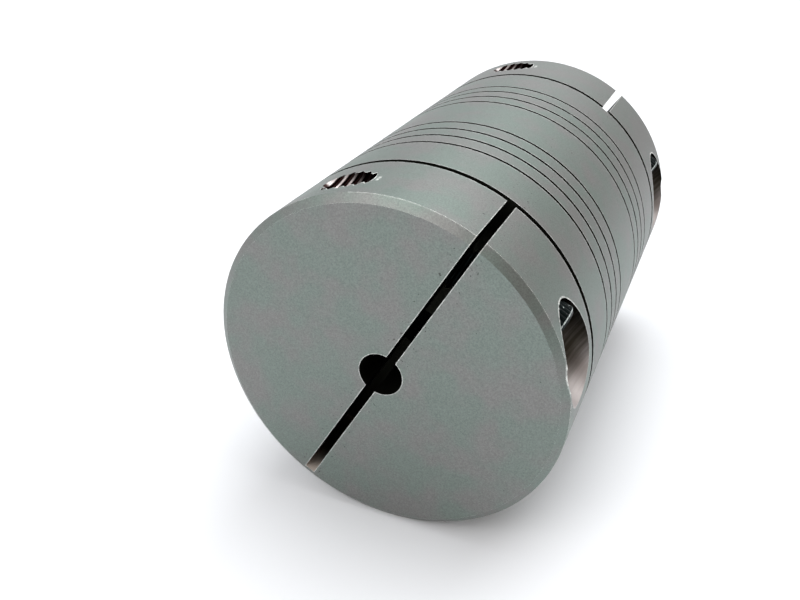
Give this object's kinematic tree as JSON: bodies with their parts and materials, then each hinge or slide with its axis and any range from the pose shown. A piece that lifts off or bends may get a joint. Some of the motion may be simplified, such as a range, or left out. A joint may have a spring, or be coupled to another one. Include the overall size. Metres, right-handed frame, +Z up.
{
  "type": "beam coupling",
  "caption": "Two-flexure helical beam shaft coupling with integral clamp hubs and socket head clamp screws.",
  "frame": {"origin": "centre of the coupling, on the shaft axis midway between the end faces", "axes": "+Y along the shaft axis from the input end to the output end, +Z up with the clamp slots near the top"},
  "size_m": [0.0508, 0.0762, 0.0508],
  "materials": {
    "coupling_body": "satin turned stainless steel",
    "clamp_screw": "black oxide"
  },
  "bodies": {
    "input_hub": {"input_hub_core": "coupling_body", "input_seat_jaw": "coupling_body"},
    "input_jaw": {"input_threaded_jaw": "coupling_body"},
    "input_screw": {"input_clamp_screw": "clamp_screw"},
    "spool": {"input_helical_beam": "coupling_body", "centre_spool": "coupling_body", "output_helical_beam": "coupling_body"},
    "output_hub": {"output_hub_core": "coupling_body", "output_seat_jaw": "coupling_body"},
    "output_jaw": {"output_threaded_jaw": "coupling_body"},
    "output_screw": {"output_clamp_screw": "clamp_screw"}
  },
  "joints": [
    {"name": "input_flex", "type": "hinge", "parent": "input_hub", "child": "spool", "pos_m": [0, -0.01118, 0], "axis": [0, 0, 1], "range_deg": [-2.5, 2.5], "stiffness_Nm_per_rad": 11.5, "deforming": ["input_helical_beam"]},
    {"name": "output_flex", "type": "hinge", "parent": "spool", "child": "output_hub", "pos_m": [0, 0.01118, 0], "axis": [0, 0, 1], "range_deg": [-2.5, 2.5], "stiffness_Nm_per_rad": 11.5, "deforming": ["output_helical_beam"]},
    {"name": "input_screw_turn", "type": "hinge", "parent": "input_hub", "child": "input_screw", "pos_m": [0.00873, -0.0323, 0.01494], "axis": [-0.8634, 0, 0.5045], "range_deg": [0, 45]},
    {"name": "input_clamp", "type": "hinge", "parent": "input_hub", "child": "input_jaw", "pos_m": [-0.01206, -0.0323, -0.02064], "axis": [0, 1, 0], "range_deg": [0, 0.16]},
    {"name": "output_screw_turn", "type": "hinge", "parent": "output_hub", "child": "output_screw", "pos_m": [0.00992, 0.0323, 0.01417], "axis": [-0.8192, 0, 0.5736], "range_deg": [0, 45]},
    {"name": "output_clamp", "type": "hinge", "parent": "output_hub", "child": "output_jaw", "pos_m": [-0.01371, 0.0323, -0.01958], "axis": [0, 1, 0], "range_deg": [0, 0.16]}
  ],
  "couplings": [
    {"joint": "input_clamp", "follows": "input_screw_turn", "ratio": 0.0035037},
    {"joint": "output_clamp", "follows": "output_screw_turn", "ratio": 0.0035037}
  ]
}
